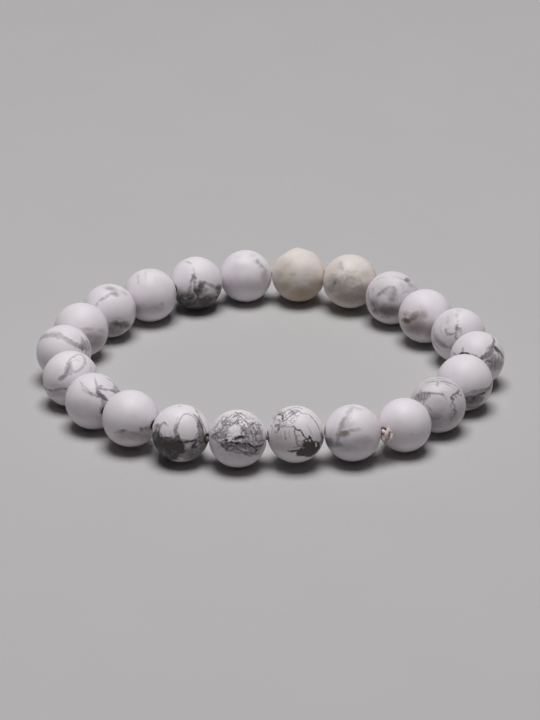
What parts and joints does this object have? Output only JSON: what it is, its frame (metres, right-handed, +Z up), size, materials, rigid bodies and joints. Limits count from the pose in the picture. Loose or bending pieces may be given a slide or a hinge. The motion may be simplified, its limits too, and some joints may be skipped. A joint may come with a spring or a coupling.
{
  "type": "beaded stretch bracelet",
  "caption": "Closed loop of round drilled white stone beads strung on a knotted elastic cord, worn by stretching it over the hand.",
  "frame": {"origin": "middle of the base of the bounding box of the bracelet lying flat", "axes": "+Z up, out of the wrist opening; +X along the loop's longest width, to the right as the picture shows it; -Y towards the viewer"},
  "size_m": [0.0679, 0.0622, 0.0085],
  "materials": {
    "howlite_white": "satin polish",
    "howlite_veined": "satin polish with grey veins",
    "howlite_cream": "satin polish, cream with brown stain",
    "elastic_thread": "fibrous, matt"
  },
  "bodies": {
    "root": {"bead_01": "howlite_veined", "bead_02": "howlite_cream", "bead_03": "howlite_cream", "bead_04": "howlite_veined", "bead_05": "howlite_white", "bead_06": "howlite_veined", "bead_07": "howlite_veined", "bead_08": "howlite_white", "bead_09": "howlite_veined", "bead_10": "howlite_white", "bead_11": "howlite_veined", "bead_12": "howlite_veined", "bead_13": "howlite_veined", "bead_14": "howlite_veined", "bead_15": "howlite_white", "bead_16": "howlite_veined", "bead_17": "howlite_veined", "bead_18": "howlite_veined", "bead_19": "howlite_white", "bead_20": "howlite_veined", "bead_21": "howlite_white", "bead_22": "howlite_veined", "elastic_cord": "elastic_thread", "knot": "elastic_thread"}
  },
  "joints": []
}
